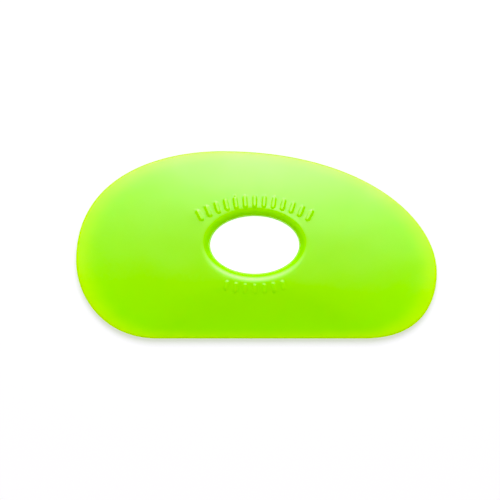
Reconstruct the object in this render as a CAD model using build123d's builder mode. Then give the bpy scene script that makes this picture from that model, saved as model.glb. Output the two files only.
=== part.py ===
"""Pottery rib: a hand-sized blade of soft polymer for shaping and smoothing wet clay.

The blade is moulded in one piece. Seen from above it has one straight working edge, an arched edge
opposite, a broad end and a narrower nose. Both faces swell gently from a thin rounded edge to a small flat
land in the middle, where an oval finger hole with well-rounded lips goes right through. A fan of raised
grip bars stands on the upper face above the hole, and a short row of them below it.

The frame: +X runs along the blade to the nose, +Y from the straight edge to the arched edge, and +Z up
through the thickness. The origin is the middle of the blade's box, on the surface that it lies on.
"""

import os

from build123d import *

# Overall size
rib_length = 140.0
rib_height = 72.7
rib_thickness = 6.4

# Outline: the straight edge, and where the other three sides reach furthest out
straight_edge_length = 80.6
straight_edge_offset = 1.6
nose_height = 25.6
broad_end_height = 30.4
arch_top_from_broad_end = 56.8

# Each rounded quarter of the outline is one curve between two of those places. Its two handles are shares
# of the quarter's width and height: the first where the curve starts, the second where it ends.
lower_nose_handle_shares = (0.894, 0.312)
upper_nose_handle_shares = (0.451, 0.654)
upper_broad_end_handle_shares = (0.474, 0.741)
lower_broad_end_handle_shares = (0.500, 0.630)

# Finger hole
hole_length = 34.4
hole_height = 22.2
hole_offset = -0.7
lip_round_share = 0.47

# Edge: a thin band all round, rounded above and below
edge_thickness = 1.4
edge_round_share = 0.45

# Crown: the swelling of each face from just inside the edge to the land. It bulges a little over a straight
# slope. The land is the blade's outline drawn in, and is as much longer and higher than the hole as these
# two margins say.
crown_inset_share = 0.6
crown_shares = (0.0, 0.15, 0.32, 0.5, 0.68, 0.85, 1.0)
crown_bulge = 0.35
land_end_margin = 8.8
land_side_margin = 5.9

# Raised grip bars: each set is a fan round a centre on the far side of the hole
bar_width = 1.4
bar_rise = 0.3
bar_step = 4.8
fan_radius = 44.0
upper_bar_length = 4.4
upper_bar_gap = 0.6
upper_bar_count = 13
lower_bar_length = 3.4
lower_bar_gap = 1.2
lower_bar_count = 7

cut_overrun = 1.0

half_length = rib_length / 2
half_height = rib_height / 2
mid_plane = rib_thickness / 2
edge_top = mid_plane + edge_thickness / 2
edge_bottom = mid_plane - edge_thickness / 2
crown_inset = edge_thickness * crown_inset_share
base_length = rib_length - 2 * crown_inset
base_height = rib_height - 2 * crown_inset
land_length = hole_length + 2 * land_end_margin
land_height = hole_height + 2 * land_side_margin
lip_round = rib_thickness * lip_round_share
lip_reach = hole_height / 2 + lip_round


def draw_outline(length, height):
    """Draw the blade's outline at this length and height, centred on the origin."""
    wide = length / rib_length
    tall = height / rib_height
    right, top = half_length * wide, half_height * tall
    edge_start = (straight_edge_offset - straight_edge_length / 2) * wide
    edge_end = (straight_edge_offset + straight_edge_length / 2) * wide
    nose = (nose_height - half_height) * tall
    broad_end = (broad_end_height - half_height) * tall
    arch_top = (arch_top_from_broad_end - half_length) * wide

    Line((edge_start, -top), (edge_end, -top))
    start, end = lower_nose_handle_shares
    Bezier(
        (edge_end, -top),
        (edge_end + start * (right - edge_end), -top),
        (right, nose - end * (nose + top)),
        (right, nose),
    )
    start, end = upper_nose_handle_shares
    Bezier(
        (right, nose),
        (right, nose + start * (top - nose)),
        (arch_top + end * (right - arch_top), top),
        (arch_top, top),
    )
    start, end = upper_broad_end_handle_shares
    Bezier(
        (arch_top, top),
        (arch_top - start * (arch_top + right), top),
        (-right, broad_end + end * (top - broad_end)),
        (-right, broad_end),
    )
    start, end = lower_broad_end_handle_shares
    Bezier(
        (-right, broad_end),
        (-right, broad_end - start * (broad_end + top)),
        (edge_start - end * (edge_start + right), -top),
        (edge_start, -top),
    )


def crown_sections(start, direction):
    """Sections of one crown, from its base at this height to the land, upwards or downwards."""
    sections = []
    for share in crown_shares:
        rise = (mid_plane - edge_thickness / 2) * share * (1 + crown_bulge * (1 - share))
        with BuildSketch(Plane.XY.offset(start + direction * rise)) as section:
            with BuildLine():
                draw_outline(
                    base_length + (land_length - base_length) * share,
                    base_height + (land_height - base_height) * share,
                )
            make_face()
        sections.append(section.sketch.face())
    return sections


with BuildPart() as grip_bars:
    # The tops of the bars follow the upper crown, raised by as much as the bars stand proud of it
    loft(crown_sections(edge_top + bar_rise, 1))

    # The upper fan and the lower row are cut out of that crown
    with BuildSketch(Plane.XY.offset(edge_top)):
        with Locations((hole_offset, lip_reach + upper_bar_gap + upper_bar_length / 2 - fan_radius)):
            spread = bar_step * (upper_bar_count - 1)
            with PolarLocations(fan_radius, upper_bar_count, 90 - spread / 2, spread, endpoint=True):
                SlotOverall(upper_bar_length, bar_width)
        with Locations((hole_offset, fan_radius - lower_bar_length / 2 - lower_bar_gap - lip_reach)):
            spread = bar_step * (lower_bar_count - 1)
            with PolarLocations(fan_radius, lower_bar_count, 270 - spread / 2, spread, endpoint=True):
                SlotOverall(lower_bar_length, bar_width)
    extrude(amount=rib_thickness, mode=Mode.INTERSECT)


with BuildPart() as rib_body:
    # The thin edge is a band that follows the outline, with both its rims rounded
    with BuildSketch(Plane.XY.offset(edge_bottom)):
        with BuildLine():
            draw_outline(rib_length, rib_height)
        make_face()
    extrude(amount=edge_thickness)
    fillet(rib_body.edges().filter_by(Plane.XY), edge_thickness * edge_round_share)

    # Both faces swell from the edge band to the land
    loft(crown_sections(edge_top, 1))
    loft(crown_sections(edge_bottom, -1))

    # The finger hole goes through both lands, and its lips are rounded
    with BuildSketch(Plane.XY.offset(-cut_overrun)):
        with Locations((hole_offset, 0)):
            Ellipse(hole_length / 2, hole_height / 2)
    extrude(amount=rib_thickness + 2 * cut_overrun, mode=Mode.SUBTRACT)
    lips = rib_body.edges(Select.LAST).filter_by(Plane.XY)
    fillet(lips, lip_round)

    add(grip_bars.part)

rib_body.part.label = "rib_body"

os.makedirs("parts", exist_ok=True)
export_step(rib_body.part, "parts/rib_body.step")
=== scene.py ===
from math import cos, pi, radians, sin

import bpy
from mathutils import Matrix, Vector


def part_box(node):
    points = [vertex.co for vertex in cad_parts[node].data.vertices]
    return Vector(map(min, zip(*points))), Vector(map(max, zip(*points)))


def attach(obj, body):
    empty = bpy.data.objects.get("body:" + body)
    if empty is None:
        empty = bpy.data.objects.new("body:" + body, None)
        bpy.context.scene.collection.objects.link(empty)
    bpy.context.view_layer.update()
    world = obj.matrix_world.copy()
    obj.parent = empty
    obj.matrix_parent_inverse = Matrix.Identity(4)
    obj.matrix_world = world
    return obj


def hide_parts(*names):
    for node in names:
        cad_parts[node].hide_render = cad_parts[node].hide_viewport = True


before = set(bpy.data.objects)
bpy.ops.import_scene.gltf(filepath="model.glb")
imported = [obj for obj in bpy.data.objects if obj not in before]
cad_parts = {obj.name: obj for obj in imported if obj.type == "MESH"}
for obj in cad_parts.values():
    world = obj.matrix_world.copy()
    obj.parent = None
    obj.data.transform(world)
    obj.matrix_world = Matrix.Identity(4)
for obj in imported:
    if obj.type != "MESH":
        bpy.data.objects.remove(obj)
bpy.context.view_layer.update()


# The blade. It is one casting of soft lime polymer: thin at the rim, swelling to a land round the finger
# hole. The mould closes on the rim, where it leaves a fine parting ridge, and the lips of the hole are
# well rounded on both faces.
mm = 0.001
body_low, body_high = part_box("rib_body")
bar_rise = 0.3 * mm
rib_length = body_high.x - body_low.x
rib_height = body_high.y - body_low.y
rib_thickness = body_high.z - body_low.z - bar_rise
half_length, half_height, mid_plane = rib_length / 2, rib_height / 2, rib_thickness / 2

straight_edge_length = 80.6 * mm
straight_edge_offset = 1.6 * mm
nose_height = 25.6 * mm
broad_end_height = 30.4 * mm
arch_top_from_broad_end = 56.8 * mm
lower_nose_handle_shares = (0.894, 0.312)
upper_nose_handle_shares = (0.451, 0.654)
upper_broad_end_handle_shares = (0.474, 0.741)
lower_broad_end_handle_shares = (0.500, 0.630)
steps_per_side = 36
bridge_cuts = 2

hole_length = 34.4 * mm
hole_height = 22.2 * mm
hole_offset = -0.7 * mm
lip_round = 0.47 * rib_thickness
lip_steps = 7
lip_ease = 0.4 * mm

edge_thickness = 1.4 * mm
edge_round = 0.45 * edge_thickness
ridge_height = 0.1 * mm
ridge_depth = 0.04 * mm
merge_distance = ridge_depth / 10
rim_steps = 5
rim_first_turn, rim_last_turn = 15, 80
crown_inset = 0.6 * edge_thickness
crown_shares = (0.0, 0.05, 0.12, 0.2, 0.3, 0.4, 0.5, 0.6, 0.7, 0.8, 0.9, 1.0)
crown_bulge = 0.35
land_end_margin = 8.8 * mm
land_side_margin = 5.9 * mm
land_length = hole_length + 2 * land_end_margin
land_height = hole_height + 2 * land_side_margin
land_rise = 0.21 * mm

lime = (0.269, 0.757, 0.002, 1)
# Painted glow of light through the thin rim: its lighter, yellower colour, the half-thickness where it
# starts, and its reach
rim_glow_lime = (0.388, 0.795, 0.003, 1)
rim_glow_half_thickness = 1.35 * mm
rim_glow_reach = (0.95, 3)
satin_roughness = (0.40, 0.46)
polymer_ior = 1.55
scatter_radius = (1, 1, 0.15)
scatter_depth = 4 * mm
grain_size = 0.5 * mm
grain_height = 0.004 * mm
grain_detail = 2
wave_size = 16 * mm
wave_height = 0.2 * mm
wave_detail = 1


def start_fresh():
    """Leave edit mode, if need be, and select nothing."""
    if bpy.context.object and bpy.context.object.mode != "OBJECT":
        bpy.ops.object.mode_set(mode="OBJECT")
    bpy.ops.object.select_all(action="DESELECT")


def choose(*pieces):
    """Select these pieces alone. The first is the active one."""
    start_fresh()
    for piece in pieces:
        piece.select_set(True)
    bpy.context.view_layer.objects.active = pieces[0]


def draw_outline():
    """The rim as a mesh loop, drawn as a closed Bezier curve with a corner point where each side ends."""
    edge_start = straight_edge_offset - straight_edge_length / 2
    edge_end = straight_edge_offset + straight_edge_length / 2
    nose = nose_height - half_height
    broad_end = broad_end_height - half_height
    arch_top = arch_top_from_broad_end - half_length
    third = straight_edge_length / 3
    corners = [
        (
            (edge_start, -half_height),
            (third, 0),
            (-lower_broad_end_handle_shares[1] * (edge_start + half_length), 0),
        ),
        (
            (edge_end, -half_height),
            (lower_nose_handle_shares[0] * (half_length - edge_end), 0),
            (-third, 0),
        ),
        (
            (half_length, nose),
            (0, upper_nose_handle_shares[0] * (half_height - nose)),
            (0, -lower_nose_handle_shares[1] * (nose + half_height)),
        ),
        (
            (arch_top, half_height),
            (-upper_broad_end_handle_shares[0] * (arch_top + half_length), 0),
            (upper_nose_handle_shares[1] * (half_length - arch_top), 0),
        ),
        (
            (-half_length, broad_end),
            (0, -lower_broad_end_handle_shares[0] * (broad_end + half_height)),
            (0, upper_broad_end_handle_shares[1] * (half_height - broad_end)),
        ),
    ]
    start_fresh()
    bpy.ops.curve.primitive_bezier_curve_add()
    curve = bpy.context.object
    spline = curve.data.splines[0]
    spline.bezier_points.add(len(corners) - len(spline.bezier_points))
    for point, (place, ahead, behind) in zip(spline.bezier_points, corners):
        point.handle_left_type = point.handle_right_type = "FREE"
        point.co = (*place, 0)
        point.handle_right = point.co + Vector((*ahead, 0))
        point.handle_left = point.co + Vector((*behind, 0))
    spline.use_cyclic_u = True
    spline.resolution_u = curve.data.resolution_u = steps_per_side
    bpy.ops.object.convert(target="MESH")
    return bpy.context.object, len(corners) * steps_per_side


def extrude_ring(scale_x, scale_y, rise, centre):
    """Extrude the selected loop of edges, scale it about the centre and raise it."""
    bpy.ops.mesh.extrude_edges_move(TRANSFORM_OT_translate={"value": (0, 0, rise)})
    bpy.ops.transform.resize(value=(scale_x, scale_y, 1), center_override=centre)


def model_blade():
    """The upper half of the skin, from the rim in to the land and from the hole's waist out to it."""
    blade, count = draw_outline()
    blade.name = "rib_blade"
    bpy.ops.object.mode_set(mode="EDIT")
    bpy.ops.mesh.select_all(action="SELECT")

    # Each ring is (length, height, z): the parting ridge, the round of the rim, and the crown up to the land
    edge_half = edge_thickness / 2
    rings = [(rib_length, rib_height, 0), (rib_length, rib_height, ridge_height)]
    for step in range(rim_steps):
        turn = radians(rim_first_turn + (rim_last_turn - rim_first_turn) * step / (rim_steps - 1))
        inset = ridge_depth + (edge_round - ridge_depth) * (1 - cos(turn))
        rings.append((rib_length - 2 * inset, rib_height - 2 * inset, edge_half * sin(turn)))
    base_length, base_height = rib_length - 2 * crown_inset, rib_height - 2 * crown_inset
    for share in crown_shares:
        rise = share * (1 + crown_bulge * (1 - share))
        rings.append((
            base_length + (land_length - base_length) * share,
            base_height + (land_height - base_height) * share,
            edge_half + (mid_plane - land_rise - edge_half) * rise,
        ))
    for before, after in zip(rings, rings[1:]):
        extrude_ring(after[0] / before[0], after[1] / before[1], after[2] - before[2], (0, 0, 0))

    # The hole's wall is a ring at the waist, rolled out over the lip
    bpy.ops.mesh.select_all(action="DESELECT")
    bpy.ops.mesh.primitive_circle_add(vertices=count, radius=1, location=(hole_offset, 0, 0))
    hole_centre = (hole_offset, 0, 0)
    bpy.ops.transform.resize(value=(hole_length / 2, hole_height / 2, 1), center_override=hole_centre)
    rings = [(hole_length / 2, hole_height / 2, 0)]
    for step in range(lip_steps + 1):
        turn = pi / 2 * step / lip_steps
        reach = lip_round * (1 - cos(turn)) + lip_ease * (step / lip_steps) ** 3
        rings.append((
            hole_length / 2 + reach, hole_height / 2 + reach, mid_plane - lip_round + lip_round * sin(turn)
        ))
    for before, after in zip(rings, rings[1:]):
        extrude_ring(after[0] / before[0], after[1] / before[1], after[2] - before[2], hole_centre)

    # The inner loop of the crown and the outer loop of the lip are bridged
    bpy.ops.object.mode_set(mode="OBJECT")
    open_heights = (mid_plane - land_rise, mid_plane)
    for vertex in blade.data.vertices:
        vertex.select = any(abs(vertex.co.z - height) < merge_distance for height in open_heights)
    for edge in blade.data.edges:
        edge.select = all(blade.data.vertices[i].select for i in edge.vertices)
    bpy.ops.object.mode_set(mode="EDIT")
    bpy.ops.mesh.select_mode(type="EDGE")
    bpy.ops.mesh.bridge_edge_loops(number_cuts=bridge_cuts, interpolation="LINEAR")
    bpy.ops.object.mode_set(mode="OBJECT")
    return blade


def close_and_smooth(blade):
    """Mirror the upper half to the lower side, weld both, smooth them and lift them on to the lower land."""
    choose(blade)
    mirror = blade.modifiers.new("lower_half", "MIRROR")
    mirror.use_axis = (False, False, True)
    mirror.merge_threshold = merge_distance
    bpy.ops.object.modifier_apply(modifier=mirror.name)
    bpy.ops.object.mode_set(mode="EDIT")
    bpy.ops.mesh.select_all(action="SELECT")
    bpy.ops.mesh.remove_doubles(threshold=merge_distance)
    bpy.ops.mesh.normals_make_consistent(inside=False)
    bpy.ops.object.mode_set(mode="OBJECT")
    rounding = blade.modifiers.new("rounding", "SUBSURF")
    rounding.levels = rounding.render_levels = 1
    bpy.ops.object.modifier_apply(modifier=rounding.name)
    bpy.ops.object.shade_smooth()
    blade.location = (0, 0, mid_plane)
    bpy.ops.object.transform_apply(location=True, rotation=True, scale=True)


def make_polymer():
    """Satin lime polymer with a painted glow of light through its thin rim, following the blade's thickness.
    """
    material = bpy.data.materials.new("soft_polymer")
    material.use_nodes = True
    tree = material.node_tree
    nodes, links = tree.nodes, tree.links
    shader = nodes["Principled BSDF"]

    place = nodes.new("ShaderNodeTexCoord")
    split = nodes.new("ShaderNodeSeparateXYZ")
    links.new(place.outputs["Object"], split.inputs[0])

    # Half the blade's thickness under a point is the point's height off the mid-plane
    lift = nodes.new("ShaderNodeMath")
    lift.operation = "SUBTRACT"
    lift.inputs[1].default_value = mid_plane
    links.new(split.outputs["Z"], lift.inputs[0])
    half = nodes.new("ShaderNodeMath")
    half.operation = "ABSOLUTE"
    links.new(lift.outputs[0], half.inputs[0])
    # The painted rim glow grows as the blade thins towards the rim
    thinness = nodes.new("ShaderNodeMapRange")
    thinness.interpolation_type = "SMOOTHERSTEP"
    thinness.inputs["From Min"].default_value = rim_glow_half_thickness
    thinness.inputs["From Max"].default_value = edge_thickness / 2
    links.new(half.outputs[0], thinness.inputs["Value"])

    # The painted rim glow keeps off the hole's wall and grows with the way out from it, so the two ends show
    # the most
    from_hole = nodes.new("ShaderNodeMapping")
    from_hole.vector_type = "TEXTURE"
    from_hole.inputs["Location"].default_value = (hole_offset, 0, 0)
    from_hole.inputs["Scale"].default_value = (
        hole_length / 2 + 2 * lip_round, hole_height / 2 + 2 * lip_round, 1
    )
    links.new(place.outputs["Object"], from_hole.inputs["Vector"])
    flat = nodes.new("ShaderNodeVectorMath")
    flat.operation = "MULTIPLY"
    flat.inputs[1].default_value = (1, 1, 0)
    links.new(from_hole.outputs[0], flat.inputs[0])
    distance = nodes.new("ShaderNodeVectorMath")
    distance.operation = "LENGTH"
    links.new(flat.outputs[0], distance.inputs[0])
    outside = nodes.new("ShaderNodeMapRange")
    outside.inputs["From Min"].default_value, outside.inputs["From Max"].default_value = rim_glow_reach
    links.new(distance.outputs["Value"], outside.inputs["Value"])
    rim_glow_share = nodes.new("ShaderNodeMath")
    rim_glow_share.operation = "MULTIPLY"
    links.new(thinness.outputs[0], rim_glow_share.inputs[0])
    links.new(outside.outputs[0], rim_glow_share.inputs[1])

    # The lime is lightened towards the yellower colour of the painted rim glow
    colour = nodes.new("ShaderNodeMix")
    colour.data_type = "RGBA"
    colour.inputs["A"].default_value = lime
    colour.inputs["B"].default_value = rim_glow_lime
    links.new(rim_glow_share.outputs[0], colour.inputs["Factor"])
    links.new(colour.outputs["Result"], shader.inputs["Base Color"])

    # The moulded skin: a fine satin grain, and the faint waves that the shrinking casting leaves
    grain = nodes.new("ShaderNodeTexNoise")
    grain.inputs["Scale"].default_value = 1 / grain_size
    grain.inputs["Detail"].default_value = grain_detail
    waves = nodes.new("ShaderNodeTexNoise")
    waves.inputs["Scale"].default_value = 1 / wave_size
    waves.inputs["Detail"].default_value = wave_detail
    for noise in (grain, waves):
        links.new(place.outputs["Object"], noise.inputs["Vector"])
    wavy = nodes.new("ShaderNodeBump")
    wavy.inputs["Distance"].default_value = wave_height
    links.new(waves.outputs["Fac"], wavy.inputs["Height"])
    grainy = nodes.new("ShaderNodeBump")
    grainy.inputs["Distance"].default_value = grain_height
    links.new(grain.outputs["Fac"], grainy.inputs["Height"])
    links.new(wavy.outputs[0], grainy.inputs["Normal"])
    links.new(grainy.outputs[0], shader.inputs["Normal"])
    satin = nodes.new("ShaderNodeMapRange")
    satin.inputs["To Min"].default_value, satin.inputs["To Max"].default_value = satin_roughness
    links.new(waves.outputs["Fac"], satin.inputs["Value"])
    links.new(satin.outputs[0], shader.inputs["Roughness"])

    shader.inputs["Specular IOR Level"].default_value = 1
    shader.inputs["IOR"].default_value = polymer_ior
    shader.inputs["Subsurface Weight"].default_value = 1
    shader.inputs["Subsurface Radius"].default_value = scatter_radius
    shader.inputs["Subsurface Scale"].default_value = scatter_depth
    return material


blade = model_blade()
close_and_smooth(blade)
polymer = make_polymer()
blade.data.materials.append(polymer)
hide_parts("rib_body")
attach(blade, "root")


# The grip bars. They are cast in one with the blade and stand proud of its upper face, in a fan above the
# hole and a short, lower row below it. Each is a small stadium with a soft top, and its foot runs out into
# the face.
bar_width = 1.4 * mm
bar_step = 4.8
fan_radius = 44 * mm
lip_reach = hole_height / 2 + lip_round
bar_sets = {
    "fan": dict(length=4.4 * mm, gap=0.6 * mm, rise=bar_rise, count=13, side=1),
    "row": dict(length=3.4 * mm, gap=1.2 * mm, rise=0.5 * bar_rise, count=7, side=-1),
}
bar_sides = 24
bar_sink = 0.15 * mm
bar_foot = 0.55 * mm
bar_top_inset = 0.12 * bar_width
seam_weld = 0.01 * mm
sorting_spot = (87.3 * mm, 31.1 * mm, 15.7 * mm)
shading_weight = 75

# Each ring of a bar: how far it runs outside the bar's own outline, and its share of the bar's rise
bar_profile = (
    (0.35 * mm, 0.02),
    (0.12 * mm, 0.22),
    (-0.12 * mm, 0.6),
    (-0.35 * mm, 0.82),
)


def model_bar(length, rise):
    """One bar, lying along X, with its foot sunk under the origin's height."""
    height = -bar_sink
    wide, long = bar_width / 2 + bar_foot, length / 2 + bar_foot
    start_fresh()
    bpy.ops.mesh.primitive_circle_add(vertices=bar_sides, radius=wide, location=(0, 0, 0))
    bar = bpy.context.object
    for vertex in bar.data.vertices:
        vertex.co.x += (long - wide) if vertex.co.x > 0 else (wide - long)
        vertex.co.z = height
    bpy.ops.object.mode_set(mode="EDIT")
    bpy.ops.mesh.select_all(action="SELECT")
    for offset, share in bar_profile:
        wider, longer = bar_width / 2 + offset, length / 2 + offset
        extrude_ring(longer / long, wider / wide, share * rise - height, (0, 0, 0))
        wide, long, height = wider, longer, share * rise
    bpy.ops.mesh.edge_face_add()
    bpy.ops.mesh.inset(thickness=bar_top_inset, depth=0)
    bpy.ops.mesh.select_all(action="SELECT")
    bpy.ops.mesh.fill_holes(sides=0)
    bpy.ops.mesh.normals_make_consistent(inside=False)
    bpy.ops.object.mode_set(mode="OBJECT")
    rounding = bar.modifiers.new("rounding", "SUBSURF")
    rounding.levels = rounding.render_levels = 1
    bpy.ops.object.modifier_apply(modifier=rounding.name)
    bar.data.materials.append(polymer)
    return bar


def place_bars(length, gap, rise, count, side):
    """Copies of one bar, fanned round a centre on the far side of the hole and seated on the crown."""
    pattern = model_bar(length, rise)
    middle = lip_reach + gap + length / 2
    bars = []
    for index in range(count):
        turn = radians(bar_step * (index - (count - 1) / 2))
        place = (hole_offset + fan_radius * sin(turn), side * (middle - fan_radius * (1 - cos(turn))))
        _, foot, normal, _ = blade.ray_cast((*place, 2 * rib_thickness), (0, 0, -1))
        outward = Vector((sin(turn), side * cos(turn), 0))
        outward = (outward - outward.dot(normal) * normal).normalized()
        bar = pattern.copy()
        bar.data = pattern.data.copy()
        bpy.context.collection.objects.link(bar)
        seat = Matrix((outward, normal.cross(outward), normal)).transposed().to_4x4()
        bar.data.transform(Matrix.Translation(foot) @ seat)
        bars.append(bar)
    bpy.data.objects.remove(pattern)
    choose(*bars)
    bpy.ops.object.join()
    return bars[0]


def settle_order(piece):
    """Sort the piece's points and faces by their distance from one spot, so that each run welds it alike."""
    choose(piece)
    bpy.context.scene.cursor.location = sorting_spot
    bpy.ops.object.mode_set(mode="EDIT")
    bpy.ops.mesh.select_all(action="SELECT")
    bpy.ops.mesh.sort_elements(type="CURSOR_DISTANCE", elements={"VERT", "EDGE", "FACE"})
    bpy.ops.object.mode_set(mode="OBJECT")


settle_order(blade)
for sizes in bar_sets.values():
    bars = place_bars(**sizes)
    choose(blade)
    casting = blade.modifiers.new("cast_in_one", "BOOLEAN")
    casting.operation = "UNION"
    casting.solver = "EXACT"
    casting.object = bars
    bpy.ops.object.modifier_apply(modifier=casting.name)
    bpy.data.objects.remove(bars)
    settle_order(blade)

# The slivers that the union leaves along the seams are welded away, and the shading is evened out
bpy.ops.object.mode_set(mode="EDIT")
bpy.ops.mesh.select_all(action="SELECT")
bpy.ops.mesh.remove_doubles(threshold=seam_weld)
bpy.ops.mesh.dissolve_degenerate(threshold=seam_weld)
bpy.ops.object.mode_set(mode="OBJECT")
bpy.ops.object.shade_smooth()
evening = blade.modifiers.new("even_shading", "WEIGHTED_NORMAL")
evening.weight = shading_weight
bpy.ops.object.modifier_apply(modifier=evening.name)


# The studio: a bright sheet under the rib, one large soft light from beyond its arched edge, and a long lens
# straight above.
view_width = 193.98 * mm
view_centre = Vector((-2.5 * mm, -2.0 * mm, mid_plane))
camera_distance = 0.9
sensor_width = 36
floor_size = 8.0
white = (1, 1, 1, 1)
floor_glow = 0.545
floor_colour = (0.42, 0.404, 0.446, 1)
hole_glow = 0.95
hole_glow_fade = (1.2, 1.5)
blue_black_level = 0.088
light_distance = 1.6
light_lean = radians(31.7)
light_side = radians(3)
light_width, light_depth = 1.14, 0.96
light_power = 28.2
room_light = 0.345

start_fresh()
bpy.ops.mesh.primitive_plane_add(size=floor_size, location=(0, 0, 0))
floor = bpy.context.object
floor.name = "studio_floor"
floor_material = bpy.data.materials.new("studio_floor")
floor_material.use_nodes = True
floor_shader = floor_material.node_tree.nodes["Principled BSDF"]
floor_shader.inputs["Base Color"].default_value = floor_colour
floor_shader.inputs["Roughness"].default_value = 1
floor_shader.inputs["Specular IOR Level"].default_value = 0
floor_shader.inputs["Emission Color"].default_value = white

# The sheet glows more under the hole, where the photograph has no shadow
floor_nodes, floor_links = floor_material.node_tree.nodes, floor_material.node_tree.links
floor_place = floor_nodes.new("ShaderNodeTexCoord")
under_hole = floor_nodes.new("ShaderNodeMapping")
under_hole.vector_type = "TEXTURE"
under_hole.inputs["Location"].default_value = (hole_offset, 0, 0)
under_hole.inputs["Scale"].default_value = (hole_length / 2, hole_height / 2, 1)
floor_links.new(floor_place.outputs["Object"], under_hole.inputs["Vector"])
from_middle = floor_nodes.new("ShaderNodeVectorMath")
from_middle.operation = "LENGTH"
floor_links.new(under_hole.outputs[0], from_middle.inputs[0])
glow = floor_nodes.new("ShaderNodeMapRange")
glow.inputs["From Min"].default_value, glow.inputs["From Max"].default_value = hole_glow_fade
glow.inputs["To Min"].default_value = hole_glow
glow.inputs["To Max"].default_value = floor_glow
floor_links.new(from_middle.outputs["Value"], glow.inputs["Value"])
floor_links.new(glow.outputs[0], floor_shader.inputs["Emission Strength"])
floor.data.materials.append(floor_material)

direction = Vector((sin(light_side) * sin(light_lean), cos(light_side) * sin(light_lean), cos(light_lean)))
bpy.ops.object.light_add(type="AREA", location=direction * light_distance)
key_light = bpy.context.object
key_light.name = "key_light"
key_light.data.shape = "RECTANGLE"
key_light.data.size, key_light.data.size_y = light_width, light_depth
key_light.data.energy = light_power
key_light.rotation_euler = direction.to_track_quat("Z", "Y").to_euler()

world = bpy.data.worlds.new("studio")
bpy.context.scene.world = world
world.use_nodes = True
background = world.node_tree.nodes["Background"]
background.inputs["Color"].default_value = white
background.inputs["Strength"].default_value = room_light

bpy.ops.object.camera_add(location=view_centre + Vector((0, 0, camera_distance)), rotation=(0, 0, 0))
camera = bpy.context.object
camera.name = "camera"
camera.data.sensor_width = sensor_width
camera.data.lens = sensor_width * camera_distance / view_width
bpy.context.scene.camera = camera
view = bpy.context.scene.view_settings
view.view_transform = "Standard"
view.use_curve_mapping = True
view.curve_mapping.black_level = (0, 0, blue_black_level)
view.curve_mapping.update()
